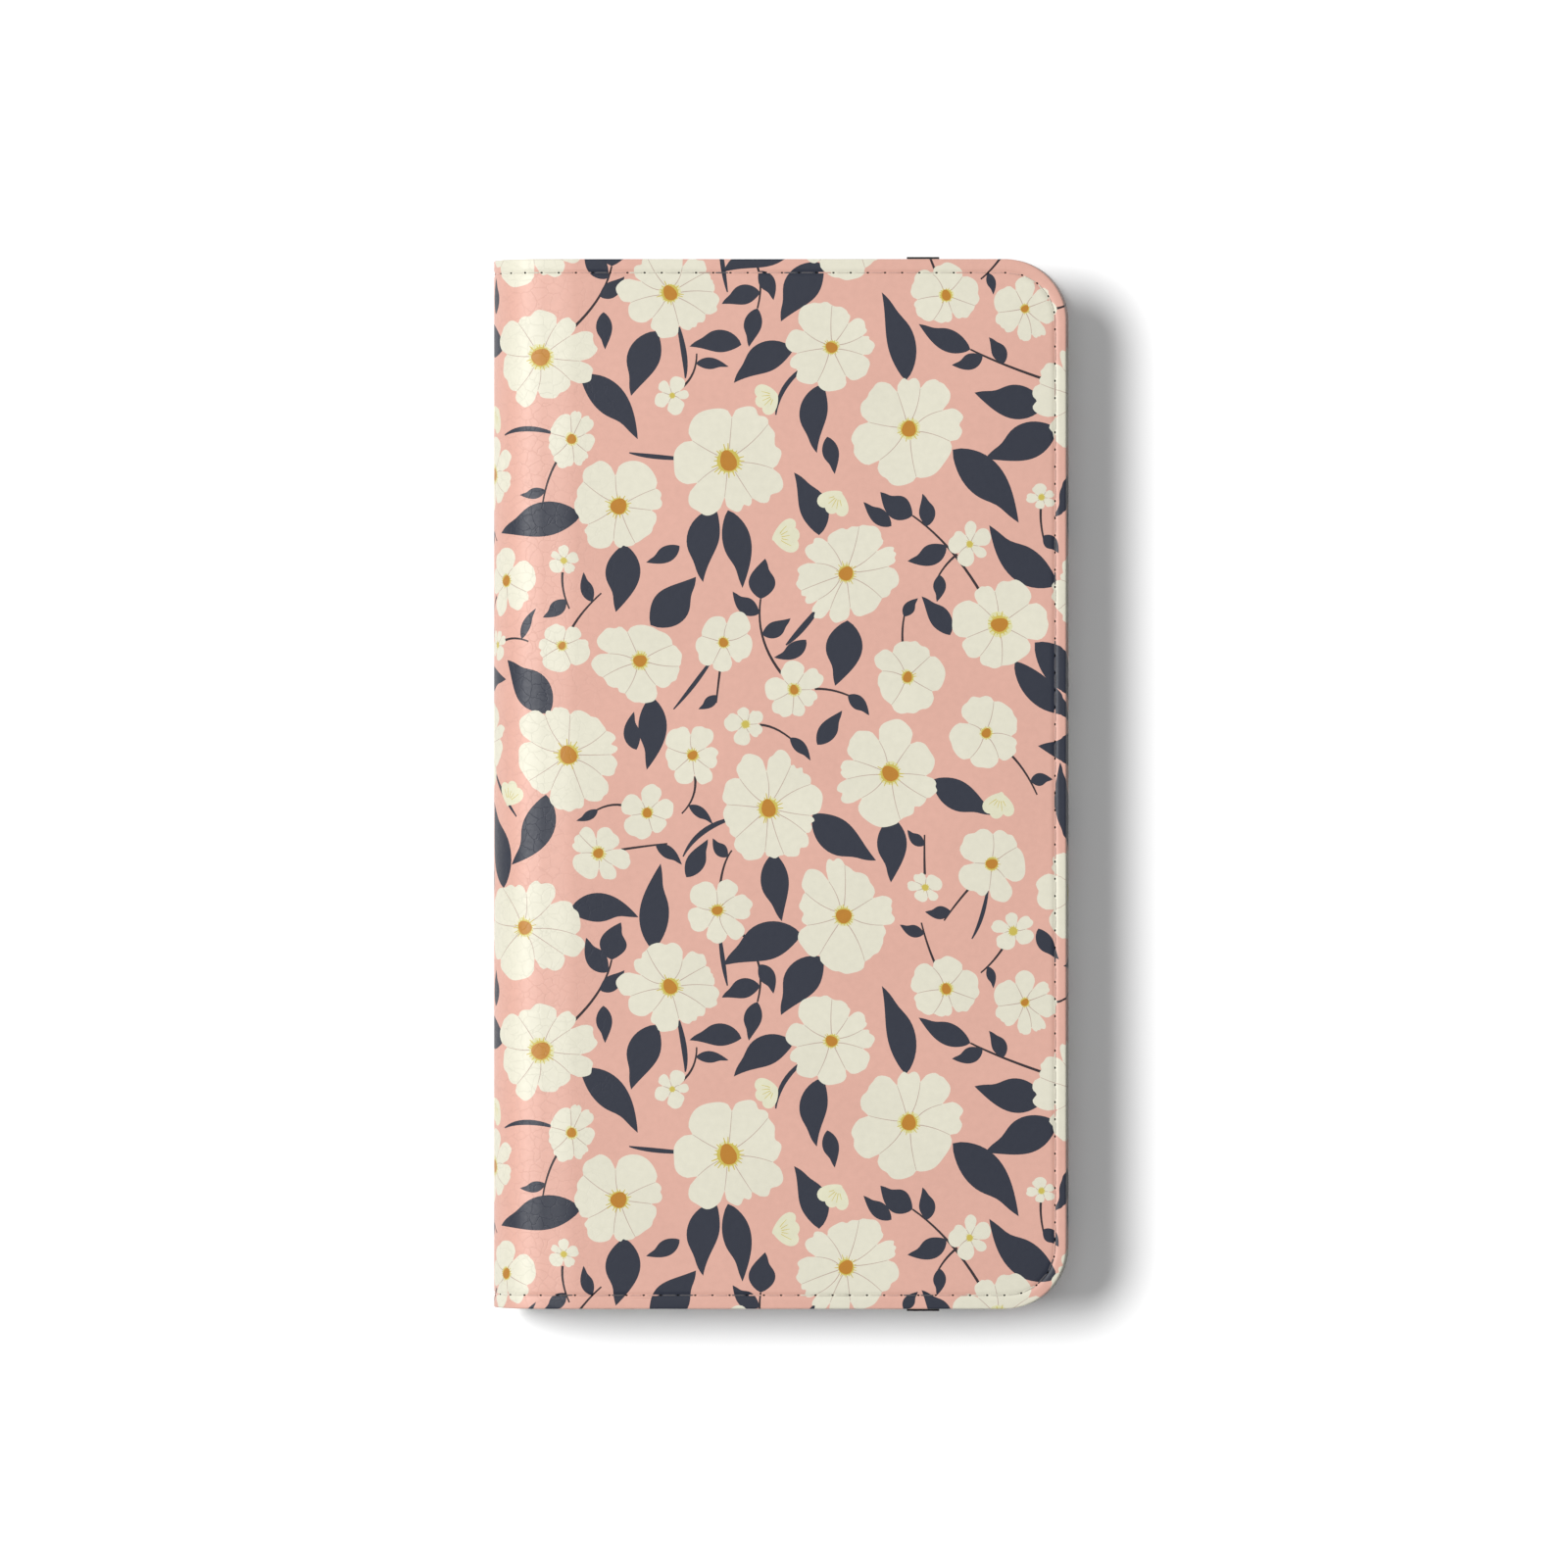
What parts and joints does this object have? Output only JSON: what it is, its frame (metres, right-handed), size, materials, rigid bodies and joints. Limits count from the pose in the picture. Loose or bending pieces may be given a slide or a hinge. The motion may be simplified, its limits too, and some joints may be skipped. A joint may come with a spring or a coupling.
{
  "type": "folio phone case",
  "caption": "Book-style phone case: printed leather cover with a half-round spine, card pockets, and a hard shell that holds the phone.",
  "frame": {"origin": "middle of the case's footprint, on the surface that the closed case rests on", "axes": "+Y to the top of the phone, +X to the opening edge, +Z out of the front cover; the spine is at -X"},
  "size_m": [0.0904, 0.166, 0.016],
  "materials": {
    "printed_leather": "smooth coated leather with a floral print",
    "board": "plain",
    "lining": "brushed microfibre",
    "pocket_leather": "fine grain, matt",
    "shell_plastic": "moulded, satin",
    "magnet": "nickel plated",
    "thread": "twisted polyester thread",
    "lining_thread": "twisted polyester thread",
    "adhesive": "clear film"
  },
  "bodies": {
    "back_cover": {"back_skin": "printed_leather", "back_board": "board", "back_lining": "lining", "back_magnets": "magnet", "back_thread": "thread", "shell_adhesive": "adhesive", "phone_shell": "shell_plastic"},
    "spine_1": {"spine_skin_1": "printed_leather", "spine_lining_1": "lining"},
    "spine_2": {"spine_skin_2": "printed_leather", "spine_lining_2": "lining"},
    "spine_3": {"spine_skin_3": "printed_leather", "spine_lining_3": "lining"},
    "front_cover": {"front_skin": "printed_leather", "front_board": "board", "front_lining": "lining", "cover_magnets": "magnet", "front_thread": "thread", "cash_pocket": "pocket_leather", "card_slot_1": "pocket_leather", "card_slot_2": "pocket_leather", "card_slot_3": "pocket_leather", "pocket_thread": "lining_thread"}
  },
  "joints": [
    {"name": "spine_fold_1", "type": "hinge", "parent": "back_cover", "child": "spine_1", "pos_m": [-0.04031, 0, 0.00061], "axis": [0, -1, 0], "range_deg": [0, 45]},
    {"name": "spine_fold_2", "type": "hinge", "parent": "spine_1", "child": "spine_2", "pos_m": [-0.04464, 0, 0.00494], "axis": [0, -1, 0], "range_deg": [0, 45]},
    {"name": "spine_fold_3", "type": "hinge", "parent": "spine_2", "child": "spine_3", "pos_m": [-0.04464, 0, 0.01106], "axis": [0, -1, 0], "range_deg": [0, 45]},
    {"name": "spine_fold_4", "type": "hinge", "parent": "spine_3", "child": "front_cover", "pos_m": [-0.04031, 0, 0.01539], "axis": [0, -1, 0], "range_deg": [0, 45]}
  ],
  "couplings": [
    {"joint": "spine_fold_2", "follows": "spine_fold_1", "ratio": 1},
    {"joint": "spine_fold_3", "follows": "spine_fold_1", "ratio": 1},
    {"joint": "spine_fold_4", "follows": "spine_fold_1", "ratio": 1}
  ]
}
